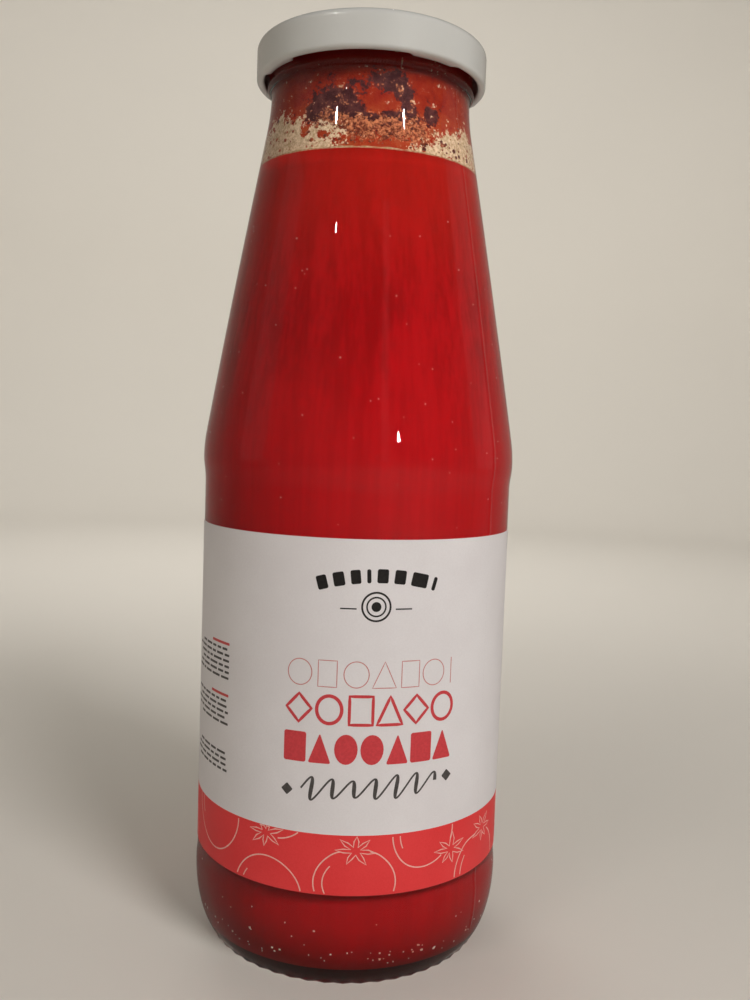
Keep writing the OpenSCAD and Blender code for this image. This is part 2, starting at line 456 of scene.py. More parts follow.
# Wide dim strips, seen only in the glass and the lid
strips = {
    "leftStrip": {"place": (-1.10, -0.02, 0.42), "wide": 0.45, "tall": 0.75, "power": 0.08},
    "rightStrip": {"place": (1.05, 0.10, 0.42), "wide": 0.45, "tall": 0.80, "power": 0.12},
    "midStrip": {"place": (0.22, -1.15, 0.50), "wide": 0.12, "tall": 0.75, "power": 0.03},
}
# The wall behind the bottle has a lamp of its own, which faces away from the bottle
wallLamp = {"place": (0.06, 0.42, 0.75), "aim": (0.10, 1.35, 0.30), "size": 0.5, "power": 3.9,
            "tone": (1.0, 0.975, 0.93)}
air = {"tone": (1.0, 0.97, 0.94), "strength": 0.07}


def addLamp(name, place, aim, size, power, tone):
    bpy.ops.object.light_add(type="AREA", location=place)
    light = bpy.context.object
    light.name = name
    light.rotation_euler = (Vector(place) - Vector(aim)).to_track_quat("Z", "Y").to_euler()
    light.data.shape = "DISK"
    light.data.size = size
    light.data.energy = power
    light.data.color = tone
    light.visible_camera = False
    return light


def aimLamp(name, lamp, away, tone):
    # From its direction round the bottle, looking at the bottle's middle
    aim = Vector((0, 0, 0.11))
    turn = math.radians(lamp["turn"])
    rise = math.radians(lamp["rise"])
    way = Vector((math.sin(turn) * math.cos(rise), -math.cos(turn) * math.cos(rise), math.sin(rise)))
    return addLamp(name, aim + way * away, aim, lamp["size"], lamp["power"], tone)


def placeLamps():
    for name, lamp in lamps.items():
        light = aimLamp(name, lamp, lampAway, lamp["tone"])
        light.visible_glossy = False
    for name, spark in sparks.items():
        light = aimLamp(name, spark, sparkAway, sparkTone)
        light.visible_diffuse = False
    for name, strip in strips.items():
        light = addLamp(name, strip["place"], (0, 0, 0.13), strip["wide"], strip["power"], stripTone)
        light.data.shape = "RECTANGLE"
        light.data.size_y = strip["tall"]
        light.visible_diffuse = False
    light = addLamp("wallLamp", *wallLamp.values())
    light.visible_glossy = False
    world = bpy.data.worlds.new("studioAir")
    world.use_nodes = True
    world.node_tree.nodes["Background"].inputs["Color"].default_value = (*air["tone"], 1)
    world.node_tree.nodes["Background"].inputs["Strength"].default_value = air["strength"]
    bpy.context.scene.world = world
    print("lamps:", len(lamps) + len(sparks) + len(strips) + 1)


glass = {
    "wall": 2.3, "shoulderProud": 0.5, "heelProud": 0.25, "shoulderRound": 36, "neckCrown": 0.2,
    "heelH": 17, "heelInset": 6.9, "bearingW": 1.6, "puntH": 3.4, "baseT": 4.4, "innerHeelH": 12,
    "finishR": 25.1, "finishH": 11, "throatH": 9.8, "throatInset": 0.65, "beadProud": 0.35, "beadH": 1.8,
    "rimRound": 1.1, "threadProud": 0.8, "threadH": 1.7, "threadSpan": 58, "threadTilt": 5,
    "threadZ": 214.9, "threadLow": 211.2, "threadHigh": 218.6, "firstLug": 25, "lugCount": 4,
    "panelBottom": 21.8, "shoulderRise": 16, "shoulderSwell": 6, "steps": 208, "seam": -43.5,
    "seamProud": 0.14, "seamHalf": 0.25, "ripple": 0.022,
}
# The ridges round the foot
knurl = {"count": 52, "proud": 0.45, "low": 0.15, "high": 2.3, "middle": 0.9, "half": 1.4}
bottleH = bottleHigh.z / mm
labelTop = labelHigh.z / mm
shoulderZ = labelTop + glass["shoulderRise"]
shoulderR = bottleHigh.x / mm
panelR = shoulderR - glass["shoulderProud"]
heelR = panelR + glass["heelProud"]
innerR = panelR - glass["wall"]
finishZ = bottleH - glass["finishH"]
throatR = glass["finishR"] - glass["throatInset"]
throatZ = finishZ - glass["throatH"]
boreR = throatR - glass["wall"]
bearingR = heelR - glass["heelInset"]
fillZ = sauceHigh.z / mm


def neckShape():
    # The neck leaves the shoulder curve at an angle that lets it meet the throat without a corner
    angle = math.radians(10)
    for _ in range(8):
        startR = shoulderR - glass["shoulderRound"] * (1 - math.cos(angle))
        startZ = shoulderZ + glass["shoulderRound"] * math.sin(angle)
        length = throatZ - startZ
        endR = throatR + (math.tan(angle) + 8 * glass["neckCrown"] / length) * glass["throatH"] / 2
        angle = math.atan((startR - endR - 4 * glass["neckCrown"]) / length)
    return angle, startR, startZ, length, endR


neckAngle, neckR, neckZ, neckLength, neckEndR = neckShape()


def coneRadius(t):
    # Outside radius up the cone, from 0 at the shoulder to 1 at the throat
    return neckR * (1 - t) + neckEndR * t + 4 * glass["neckCrown"] * t * (1 - t)


def throatRadius(t):
    return neckEndR + (throatR - neckEndR) * (2 - t) * t


def neckLine(inset, steps, throatSteps):
    line = []
    for step in range(1, steps + 1):
        t = step / steps
        line.append((coneRadius(t) - inset, neckZ + neckLength * t))
    for step in range(1, throatSteps + 1):
        t = step / throatSteps
        line.append((throatRadius(t) - inset, throatZ + glass["throatH"] * t))
    return line


def neckRadius(z, inset):
    if z < throatZ:
        return coneRadius((z - neckZ) / neckLength) - inset
    return throatRadius(min(1.0, (z - throatZ) / glass["throatH"])) - inset


def innerLine(inset):
    # The inside of the glass from the top of the shoulder curve down to the middle of the base
    r = innerR - inset
    floorZ = glass["baseT"] + inset
    floorR = r - glass["heelInset"]
    shoulderC = r - glass["shoulderRound"]
    heelTop = floorZ + glass["innerHeelH"]
    line = arcLine(shoulderC, shoulderZ, glass["shoulderRound"], math.degrees(neckAngle), 0, 8)
    line += straightLine(r, shoulderZ - 4, r, heelTop + 4, 12)
    line += roundLine(floorR, heelTop, glass["heelInset"], glass["innerHeelH"], 0, -90, 14)
    for step in range(11, -1, -1):
        t = step / 12
        line.append((floorR * t, floorZ + glass["puntH"] * (1 - t * t)))
    return line


def outerLine():
    beadR = glass["beadH"] / 2
    beadC = glass["finishR"] + glass["beadProud"] - beadR
    line = roundLine(0, 0, bearingR - glass["bearingW"], glass["puntH"], 90, 0, 14)
    line += roundLine(bearingR, glass["heelH"], glass["heelInset"], glass["heelH"], -90, -60, 14)
    line += roundLine(bearingR, glass["heelH"], glass["heelInset"], glass["heelH"], -60, 0, 14)[1:]
    line += easeLine(heelR, glass["heelH"] + 1, panelR, glass["panelBottom"], 6)
    line += straightLine(panelR, 25, panelR, shoulderZ - glass["shoulderSwell"] - 2, 16)
    line += easeLine(panelR, shoulderZ - glass["shoulderSwell"], shoulderR, shoulderZ, 10)
    shoulderC = shoulderR - glass["shoulderRound"]
    line += arcLine(shoulderC, shoulderZ, glass["shoulderRound"], 0, math.degrees(neckAngle), 10)
    line += neckLine(0, 22, 8)
    stop = math.degrees(math.acos((glass["finishR"] - beadC) / beadR))
    line += arcLine(beadC, finishZ + beadR, beadR, -90, stop, 9)
    rim = glass["rimRound"]
    mouthR = glass["finishR"]
    line += straightLine(mouthR, finishZ + glass["beadH"] + 0.3, mouthR, bottleH - rim - 0.2, 18)
    line += arcLine(mouthR - rim, bottleH - rim, rim, 0, 90, 6)
    line += arcLine(boreR + rim, bottleH - rim, rim, 90, 180, 6)
    line += straightLine(boreR, bottleH - 2, boreR, finishZ + 0.4, 6)
    line += list(reversed(neckLine(glass["wall"], 18, 8)))
    return line + innerLine(0)


def threadRise(angle, z):
    # How much of a thread there is at this place on the mouth
    rise = 0
    for index in range(glass["lugCount"]):
        centre = glass["firstLug"] + (index + 0.5) * 360 / glass["lugCount"]
        away = turnBetween(angle, centre)
        half = glass["threadSpan"] / 2
        if abs(away) < half:
            tilt = math.sin(math.radians(glass["threadTilt"])) * glass["finishR"]
            tilt *= math.sin(math.radians(away))
            end = min(1.0, (half - abs(away)) / 5)
            up = (z - glass["threadZ"] - tilt) / glass["threadH"] * 1.7
            rise = max(rise, end * min(1.0, 1.6 * bump(up)))
    return rise


def makeBottle():
    piece = spinLine("glassBottle", outerLine(), glass["steps"])
    for vertex in piece.data.vertices:
        r, z, angle = polar(vertex.co)
        if r < 1:
            continue
        grow = 0
        if r > bearingR + 0.4 and knurl["low"] < z < knurl["high"]:
            around = 0.5 + 0.5 * math.cos(math.radians(angle * knurl["count"]))
            grow += knurl["proud"] * around * bump((z - knurl["middle"]) / knurl["half"])
        if r > glass["finishR"] - 0.05 and glass["threadLow"] < z < glass["threadHigh"]:
            grow += glass["threadProud"] * threadRise(angle, z)
        outside = r > neckRadius(z, 1.0) if z > neckZ else r > panelR - 0.6
        if outside and 26 < z < finishZ:
            under = 0.3 if z < labelTop else min(1.0, (z - labelTop) / 8 + 0.3)
            a = math.radians(angle)
            ripple = noise.noise(Vector((7 * math.cos(a), 7 * math.sin(a), z * 0.035)))
            ripple += 0.5 * noise.noise(Vector((15 * math.cos(a), 15 * math.sin(a), z * 0.08 + 9)))
            grow += glass["ripple"] * under * (ripple - 0.45)
        pushOut(vertex, grow)
    addSeams(piece)
    piece.data.materials.append(clearGlassFinish())
    hold(piece, "clear_glass", "bottle")
    print("bottle:", len(piece.data.polygons), "faces")


def addSeams(piece):
    # The mould's two parting lines: a column of edges is bevelled in two, and its middle stands proud
    pickUp(piece)
    for seam in (glass["seam"], glass["seam"] + 180):
        halfStep = 180 / glass["steps"]
        startPicking()
        places = [vertex.co for vertex in piece.data.vertices]
        for edge in piece.data.edges:
            ends = [places[index] for index in edge.vertices]
            onSeam = True
            for end in ends:
                r, z, angle = polar(end)
                outside = r > (neckRadius(z, 1.0) if z > neckZ else panelR - 2.0)
                near = abs(turnBetween(angle, seam)) <= halfStep
                onSeam = onSeam and outside and near and 8 < z < finishZ - 1
            edge.select = onSeam and abs(ends[0].z - ends[1].z) > 0.0001
        bevelPicked(glass["seamHalf"], 2)
        picked = [vertex for vertex in piece.data.vertices if vertex.select]
        if picked:
            centre = sum(polar(vertex.co)[2] % 360 for vertex in picked) / len(picked)
            for vertex in picked:
                if abs(turnBetween(polar(vertex.co)[2], centre)) < 0.1:
                    pushOut(vertex, glass["seamProud"])


sauce = {"bite": 0.1, "meniscus": 0.5, "steps": 144, "specks": 280, "seed": 11}


def makeSauce():
    r = neckRadius(fillZ, glass["wall"]) + sauce["bite"]
    line = [(0, fillZ - 0.35)] + straightLine(3, fillZ - 0.35, r - 4, fillZ - 0.3, 5)
    line += [(r - 2.5, fillZ - 0.22), (r - 1.2, fillZ - 0.08), (r - 0.4, fillZ + 0.1)]
    line += [(r, fillZ + sauce["meniscus"])]
    for point in reversed(neckLine(glass["wall"] - sauce["bite"], 18, 8)):
        if point[1] < fillZ - 0.5:
            line.append(point)
    line += innerLine(-sauce["bite"])
    piece = spinLine("passataFill", line, sauce["steps"])
    piece.data.materials.append(sauceFinish())
    hold(piece, "passata", "passata")
    print("sauce:", len(piece.data.polygons), "faces")


def wallRadius(z):
    # Radius of the inside of the glass at this height
    if z > neckZ:
        return neckRadius(z, glass["wall"])
    if z > shoulderZ:
        c = innerR - glass["shoulderRound"]
        return c + math.sqrt(max(0, glass["shoulderRound"] ** 2 - (z - shoulderZ) ** 2))
    top = glass["baseT"] + glass["innerHeelH"]
    if z > top:
        return innerR
    down = min(1.0, (top - z) / glass["innerHeelH"])
    return innerR - glass["heelInset"] + glass["heelInset"] * math.sqrt(max(0, 1 - down * down))


def scatterBits(name, places, seed, flat, out=0.0):
    # Small lumps on the inside of the glass, one model copied: each place is (angle, height, size)
    rng = random.Random(seed)
    restTools()
    bpy.ops.mesh.primitive_ico_sphere_add(subdivisions=2, radius=1)
    model = bpy.context.object
    bits = []
    for angle, z, size in places:
        bit = model.copy()
        bit.data = model.data.copy()
        bpy.context.collection.objects.link(bit)
        a = math.radians(angle)
        r = wallRadius(z) + out
        bit.location = (r * math.cos(a) * mm, r * math.sin(a) * mm, z * mm)
        bit.rotation_euler = (rng.uniform(-0.4, 0.4), rng.uniform(-0.4, 0.4), a)
        bit.scale = (size * flat * mm, size * rng.uniform(0.7, 1.3) * mm, size * rng.uniform(0.7, 1.2) * mm)
        for vertex in bit.data.vertices:
            vertex.co *= 1 + 0.25 * rng.uniform(-1, 1)
        bits.append(bit)
    bpy.data.objects.remove(model)
    piece = joinPieces(name, bits)
    bpy.ops.object.shade_smooth()
    return piece


def makeSpecks():
    # Fine bubbles and bits of pulp that lie against the glass, most of them low in the heel. Their pale
    # tone is partly painted highlight, standing in for the small glints of light on the heel
    rng = random.Random(sauce["seed"])
    places = []
    for index in range(sauce["specks"]):
        if index < sauce["specks"] * 0.6:
            z = rng.uniform(5.8, 9.5) if rng.random() < 0.65 else rng.uniform(9.5, 20)
        else:
            z = rng.uniform(106, 178)
        size = rng.choice((0.13, 0.16, 0.21, 0.30)) if z < 100 else rng.choice((0.10, 0.12, 0.15))
        places.append((rng.uniform(0, 360), z, size))
    piece = scatterBits("sauceSpecks", places, 5, 0.5, 0.2)
    # Pale tones: partly the bits' own colour, partly painted glints of light
    speckAndGlintTones = (0.78, 0.36, 0.26), (0.95, 0.82, 0.70)
    piece.data.materials.append(bitFinish("paleSpecks", 250, 0.4, 0.6, *speckAndGlintTones, 0.4)[0])
    hold(piece, "passata")
    print("specks:", len(piece.data.polygons), "faces")


# Each place is (degrees to the right of the label's front, height in mm, half width in degrees,
# half height in mm, amount)
residue = {
    "low": -0.6, "high": 218.4, "steps": 300, "rows": 64, "bite": 0.05, "thick": 0.12,
    "foam": [
        (-70, 194.0, 15, 5.6, 1.0), (-50, 193.8, 13, 3.6, 1.15), (-66, 199.6, 7, 1.6, 0.35),
        (-35, 193.1, 13, 3.0, 1.2), (22, 191.2, 8, 0.9, 0.8), (39, 193.2, 14, 2.9, 1.15),
        (57, 194.2, 12, 3.8, 1.15), (39, 196.4, 1.6, 2.4, 0.5), (59, 198.6, 1.6, 2.6, 0.5),
        (78, 194, 10, 3.6, 0.8), (-95, 193, 14, 3.4, 0.8), (120, 193.5, 26, 3.0, 0.75),
        (175, 192.5, 20, 2.6, 0.7), (225, 194, 26, 4.0, 0.8),
    ],
    # Bare patches, where the finish paints the dark shade of the neck's inside
    "bare": [
        (-10, 200.5, 30, 4.4, 0.48), (-30, 201.2, 13, 4.8, 0.8), (-21, 199.0, 9, 3.0, 0.5),
        (1, 206.6, 13, 3.0, 0.8), (12, 202.0, 7, 4.8, 0.72), (27, 199.8, 8, 2.9, 0.85),
        (-42, 199.6, 8, 2.4, 0.45), (3, 198.0, 14, 1.6, 0.35), (110, 203, 12, 3.2, 0.9),
        (165, 200, 15, 3.4, 0.9), (215, 204, 14, 3.0, 0.9), (250, 200.5, 9, 2.6, 0.8),
    ],
    "island": [
        (-44.0, 194.6, 3.8, 1.4, 1.5), (-33.0, 193.6, 3.6, 1.0, 1.4), (21.5, 201.8, 2.6, 2.2, 1.4),
        (-1, 201.2, 9.5, 1.9, 1.3), (140, 195, 8, 1.8, 1.2), (200, 196, 7, 1.7, 1.2),
    ],
    "crumbs": [
        (2, 195.6, 27, 2.9, 0.62), (-32, 197.2, 15, 1.8, 0.6), (-12, 194.2, 16, 2.6, 0.7),
        (20, 194.6, 12, 2.6, 0.66), (-55, 197.6, 10, 1.6, 0.5), (-25, 202, 14, 3.6, 0.42),
        (10, 201, 16, 4.0, 0.44), (4, 206, 9, 2.6, 0.36), (125, 197, 30, 2.6, 0.58),
        (195, 197, 40, 2.8, 0.58),
    ],
}


def amountAt(spots, right, z):
    total = 0
    for centre, height, wide, tall, amount in spots:
        across = turnBetween(right, centre) / wide
        total += amount * math.exp(-(across ** 2 + ((z - height) / tall) ** 2))
    return total


def makeNeckFilm():
    low = fillZ + residue["low"]
    rows = residue["rows"]
    heights = [low + (residue["high"] - low) * row / rows for row in range(rows + 1)]
    outside = [(neckRadius(z, glass["wall"] - residue["bite"]), z) for z in heights]
    inside = [(neckRadius(z, glass["wall"] + residue["thick"]), z) for z in reversed(heights)]
    piece = spinLine("neckFilm", outside + inside + [outside[0]], residue["steps"])
    paint = piece.data.color_attributes.new("residue", "FLOAT_COLOR", "POINT")
    for vertex, colour in zip(piece.data.vertices, paint.data):
        right = math.degrees(math.atan2(vertex.co.x, -vertex.co.y))
        z = vertex.co.z / mm
        island = amountAt(residue["island"], right, z)
        foam = amountAt(residue["foam"], right, z) - 1.3 * island
        film = 1.0 - amountAt(residue["bare"], right, z) + 0.9 * island
        crumbs = amountAt(residue["crumbs"], right, z) - 0.5 * island
        colour.color = (clamp(foam), clamp(film), clamp(crumbs), 1)
    piece.data.materials.append(residueFinish())
    hold(piece, "passata")
    print("neck film:", len(piece.data.polygons), "faces")


def makeFoamLine():
    # The cream line where the sauce meets the glass
    r = neckRadius(fillZ, glass["wall"])
    foamZ = fillZ + 0.35
    line = roundLine(r - 0.15, foamZ, 0.28, 0.42, 0, 360, 8)
    piece = spinLine("foamLine", line, 240)
    for vertex in piece.data.vertices:
        a = math.atan2(vertex.co.y, vertex.co.x)
        swing = noise.noise(Vector((9 * math.cos(a), 9 * math.sin(a), 0)))
        fine = noise.noise(Vector((40 * math.cos(a), 40 * math.sin(a), vertex.co.z * 2000)))
        vertex.co.z = foamZ * mm + (vertex.co.z - foamZ * mm) * (1.0 + 0.55 * swing + 0.35 * fine)
    piece.data.materials.append(foamFinish())
    hold(piece, "passata")
    rng = random.Random(23)
    places = []
    for _ in range(230):
        right = rng.gauss(5, 42) if rng.random() < 0.6 else rng.uniform(-180, 180)
        z = 191.2 + abs(rng.gauss(0, 3.6))
        if z < 203:
            places.append((right - 90, z, rng.choice((0.18, 0.25, 0.33, 0.45))))
    pulp = scatterBits("neckPulp", places, 8, 0.4, 0.1)
    pulpTones = (0.12, 0.016, 0.010), (0.46, 0.11, 0.040)
    pulp.data.materials.append(bitFinish("driedPulp", 380, 0.38, 0.62, *pulpTones, 0.3)[0])
    hold(pulp, "passata")
    print("foam and pulp:", len(piece.data.polygons) + len(pulp.data.polygons), "faces")


paper = {"thick": 0.1, "lap": 6, "band": 37.7, "columns": 252, "rows": 32}
labelFront = -labelLow.y / mm
labelBottom = labelLow.z / mm


def wrapRadius(across):
    # The far end of the wrap climbs over the near end
    turn = across / labelFront
    lapStart = math.pi - 1.5 * paper["lap"] / labelFront
    climb = clamp((turn - lapStart) / (0.5 * paper["lap"] / labelFront))
    return labelFront + paper["thick"] * climb * climb * (3 - 2 * climb)


def wrapRound(piece, proud=0.0):
    # Bends a flat piece, drawn with X across and Z up, round the bottle: X = 0 is the label's front
    for vertex in piece.data.vertices:
        across = vertex.co.x / mm
        r = (wrapRadius(across) + proud) * mm + vertex.co.y
        angle = across / labelFront
        vertex.co.x = r * math.sin(angle)
        vertex.co.y = -r * math.cos(angle)
    piece.data.update()


def makeLabel():
    around = 2 * math.pi * labelFront
    width = around + paper["lap"]
    height = labelTop - labelBottom
    restTools()
    bpy.ops.mesh.primitive_grid_add(x_subdivisions=paper["columns"], y_subdivisions=paper["rows"], size=1,
                                    rotation=(math.pi / 2, 0, 0))
    piece = bpy.context.object
    piece.name = "paperWrap"
    piece.scale = (width * mm, height * mm, 1)
    piece.location = (0, 0, (labelBottom + height / 2) * mm)
    settle(piece)
    bpy.ops.object.mode_set(mode="EDIT")
    bpy.ops.mesh.select_all(action="SELECT")
    bpy.ops.mesh.bisect(plane_co=(0, 0, paper["band"] * mm), plane_no=(0, 0, 1))
    bpy.ops.object.mode_set(mode="OBJECT")
    piece.data.materials.append(paperFinish("whitePaper", (0.79, 0.765, 0.78), (0.74, 0.71, 0.725), 0.42))
    piece.data.materials.append(paperFinish("redBand", (0.83, 0.056, 0.059), (0.77, 0.041, 0.044), 0.40))
    for face in piece.data.polygons:
        face.material_index = 1 if face.center.z < paper["band"] * mm else 0
    wrapRound(piece)
    wall = piece.modifiers.new("paperThickness", "SOLIDIFY")
    wall.thickness = paper["thick"] * mm
    pickUp(piece)
    piece.data.update()
    outward = piece.data.polygons[0].normal.dot(piece.data.polygons[0].center.normalized())
    wall.offset = -1 if outward > 0 else 1
    bpy.ops.object.modifier_apply(modifier=wall.name)
    bpy.ops.object.shade_smooth_by_angle(angle=math.radians(40))
    hold(piece, "label_paper", "label")
    print("label:", len(piece.data.polygons), "faces")


inkThick = 0.022


def inkLine(points, width, closed=False, swell=None):
    # A fine flat stroke through the points, with round ends, and thicker where swell says so
    restTools()
    curve = bpy.data.curves.new("stroke", "CURVE")
    curve.dimensions = "3D"
    curve.bevel_depth = width / 2 * mm
    curve.bevel_resolution = 1
    curve.use_fill_caps = True
    spline = curve.splines.new("POLY")
    spline.points.add(len(points) - 1)
    for spot, (x, z) in zip(spline.points, points):
        spot.co = (x * mm, 0, z * mm, 1)
    for spot, share in zip(spline.points, swell or []):
        spot.radius = share
    spline.use_cyclic_u = closed
    stroke = bpy.data.objects.new("stroke", curve)
    bpy.context.collection.objects.link(stroke)
    pickUp(stroke)
    bpy.ops.object.convert(target="MESH")
    stroke = bpy.context.object
    for vertex in stroke.data.vertices:
        vertex.co.y *= inkThick * mm / (width / 2 * mm)
    return stroke


def inkBlock(x, z, width, height, corner=0.25, lean=0.0, sides=4):
    # A flat shape with rounded corners: 4 sides make a block, 3 a triangle and 24 a disc
    restTools()
    bpy.ops.mesh.primitive_cylinder_add(vertices=sides, radius=1 / math.sqrt(2) if sides == 4 else 0.5,
                                        depth=2 * inkThick * mm, rotation=(math.pi / 2, 0, 0))
    block = bpy.context.object
    settle(block)
    if sides == 4:
        block.data.transform(Matrix.Rotation(math.pi / 4, 4, "Y"))
    low = [min(v.co[k] for v in block.data.vertices) for k in (0, 2)]
    high = [max(v.co[k] for v in block.data.vertices) for k in (0, 2)]
    for vertex in block.data.vertices:
        u = (vertex.co.x - low[0]) / (high[0] - low[0]) - 0.5
        v = (vertex.co.z - low[1]) / (high[1] - low[1]) - 0.5
        vertex.co.x = u * width * mm
        vertex.co.z = v * height * mm
    if sides < 8 and corner > 0:
        pickUp(block)
        startPicking()
        for edge in block.data.edges:
            a, b = (block.data.vertices[i].co for i in edge.vertices)
            edge.select = abs(a.y - b.y) > inkThick * mm
        bevelPicked(corner, 3)
    place = Matrix.Translation((x * mm, 0, z * mm))
    block.data.transform(place @ Matrix.Rotation(math.radians(lean), 4, "Y"))
    return block


def inkRing(x, z, width, height, stroke, steps=40):
    turns = [2 * math.pi * step / steps for step in range(steps)]
    halfW, halfH = (width - stroke) / 2, (height - stroke) / 2
    points = [(x + halfW * math.cos(t), z + halfH * math.sin(t)) for t in turns]
    return inkLine(points, stroke, True)


def inkFrame(corners, stroke):
    points = []
    for (x0, z0), (x1, z1) in zip(corners, corners[1:] + corners[:1]):
        steps = max(2, round(math.hypot(x1 - x0, z1 - z0) / 1.0))
        points += [(x0 + (x1 - x0) * s / steps, z0 + (z1 - z0) * s / steps) for s in range(steps)]
    return inkLine(points, stroke, True)


def layInk(name, shapes, pale, deep):
    piece = joinPieces(name, shapes)
    bpy.ops.object.mode_set(mode="EDIT")
    low = min(v.co.x for v in piece.data.vertices)
    high = max(v.co.x for v in piece.data.vertices)
    cuts = int((high - low) / (1.2 * mm))
    for cut in range(1, cuts + 1):
        bpy.ops.mesh.select_all(action="SELECT")
        bpy.ops.mesh.bisect(plane_co=(low + cut * 1.2 * mm, 0, 0), plane_no=(1, 0, 0))
    bpy.ops.object.mode_set(mode="OBJECT")
    wrapRound(piece, 0.004)
    piece.data.flip_normals()  # the bend mirrors the piece, so its faces are turned back
    bpy.ops.object.shade_smooth_by_angle(angle=math.radians(35))
    piece.data.materials.append(bitFinish(name + "Ink", 1800, 0.3, 0.7, deep, pale, 0.45)[0])
    hold(piece, "label_paper")
    print(name + ":", len(piece.data.polygons), "faces")


def makeBlackPrint():
    # An arc of small blocks over a plain ring with a dot, and a short line on each side
    shapes = []
    arch = {"middleX": 0.3, "middleZ": 50.0, "radius": 46.0, "from": -17.0, "to": 17.4}
    widths = (2.3, 2.5, 2.2, 0.9, 2.5, 2.6, 3.9, 0.9)
    gap = 1.25
    length = sum(widths) + gap * (len(widths) - 1)
    run = -length / 2
    for wide in widths:
        lean = (run + wide / 2) / length * (arch["to"] - arch["from"])
        a = math.radians(lean)
        z = arch["middleZ"] + arch["radius"] * math.cos(a)
        x = arch["middleX"] + arch["radius"] * math.sin(a)
        shapes.append(inkBlock(x, z, wide, 3.1, 0.4, lean))
        run += wide + gap
    shapes.append(inkRing(-0.05, 89.2, 6.8, 6.8, 0.5))
    shapes.append(inkRing(-0.05, 89.2, 4.6, 4.6, 0.42, 30))
    shapes.append(inkBlock(-0.05, 89.2, 2.2, 2.2, 0, 0, 20))
    for start, stop in ((-8.0, -4.4), (4.3, 8.1)):
        shapes.append(inkLine([(start + (stop - start) * s / 4, 88.7) for s in range(5)], 0.36))
    layInk("blackPrint", shapes, (0.016, 0.014, 0.014), (0.008, 0.007, 0.007))


fineRow = {"low": 71.1, "high": 77.0, "half": 2.7, "side": 2.1, "stroke": 0.24, "ring": (5.8, 6.1, 0.26)}
firmRow = {"low": 62.8, "high": 69.2, "half": 2.9, "side": 2.6, "stroke": 0.8, "ring": (6.5, 7.1, 0.9)}


def outlineMark(kind, x, row):
    low, high, half, side = row["low"], row["high"], row["half"], row["side"]
    middle = (low + high) / 2
    if kind == "ring":
        return inkRing(x, middle, *row["ring"])
    if kind == "bar":
        return inkLine([(x, low + (high - low) * s / 4) for s in range(5)], row["stroke"])
    corners = {"point": [(x - half, low), (x, high), (x + half, low)],
               "diamond": [(x - half, middle), (x, high), (x + half, middle), (x, low)],
               "block": [(x - side, low), (x - side, high), (x + side, high), (x + side, low)]}
    return inkFrame(corners[kind], row["stroke"])


def makeRowPrints():
    # Three rows of plain shapes: fine outlines, firm outlines and solid blocks
    fine = []
    kinds = ("ring", "block", "ring", "point", "block", "ring", "bar")
    for kind, x in zip(kinds, (-16.6, -10.3, -3.9, 2.4, 8.4, 14.2, 19.0)):
        fine.append(outlineMark(kind, x, fineRow))
    layInk("pinkPrint", fine, (0.62, 0.25, 0.24), (0.55, 0.20, 0.19))
    firm = []
    kinds = ("diamond", "ring", "block", "point", "diamond", "ring")
    for kind, x in zip(kinds, (-16.6, -9.7, -2.6, 3.9, 10.1, 16.9)):
        firm.append(outlineMark(kind, x, firmRow))
    solid = []
    for sides, x in zip((4, 3, 24, 24, 3, 4, 3), (-17.3, -11.6, -5.7, 0.1, 5.9, 11.6, 17.2)):
        solid.append(inkBlock(x, 57.2, 5.2, 6.8, 0.5, 0, sides))
    layInk("redPrint", firm + solid, (0.66, 0.050, 0.062), (0.58, 0.040, 0.050))


def makeGreyPrint():
    # A plain wave, thin going up and thick coming down, between two small marks
    shapes = []
    points = []
    swell = []
    wave = {"count": 6.5, "points": 260, "from": -15.6, "length": 31.2, "lean": 0.45, "tall": 2.7,
            "height": 47.8, "climb": 1.2}
    for step in range(wave["points"] + 1):
        t = step / wave["points"]
        swing = 2 * math.pi * wave["count"] * t
        up = wave["tall"] * (0.85 + 0.15 * math.sin(2 * math.pi * 1.5 * t + 1.2)) * math.sin(swing)
        x = wave["from"] + wave["length"] * t + wave["lean"] * up
        points.append((x, wave["height"] + up + wave["climb"] * t))
        swell.append(0.8 + 0.9 * max(0.0, -math.cos(swing)))
    shapes.append(inkLine(points, 0.62, False, swell))
    for x, z in ((-18.9, 47.2), (18.9, 49.6)):
        shapes.append(inkBlock(x, z, 2.0, 2.0, 0.25, 45, 4))
    # Fine bars on the side panel, three groups of them
    rng = random.Random(31)
    sideRight = -37.0
    redBars = []
    for top, rows in ((77.0, 7), (64.8, 6), (51.0, 4)):
        for row in range(rows):
            z = top - 1.35 * row
            wide = 20 * rng.uniform(0.72, 1.0)
            x = sideRight - wide
            if row == 0 and top > 60:
                redBars.append(inkBlock(sideRight - 4, z, 8, 0.62, 0.15))
                continue
            while x < sideRight - 1.0:
                bar = min(rng.uniform(1.4, 4.2), sideRight - x)
                shapes.append(inkBlock(x + bar / 2, z, bar, 0.55, 0.15))
                x += bar + 0.7
    layInk("greyPrint", shapes, (0.085, 0.075, 0.072), (0.055, 0.050, 0.048))
    layInk("sidePrint", redBars, (0.66, 0.08, 0.08), (0.58, 0.06, 0.06))


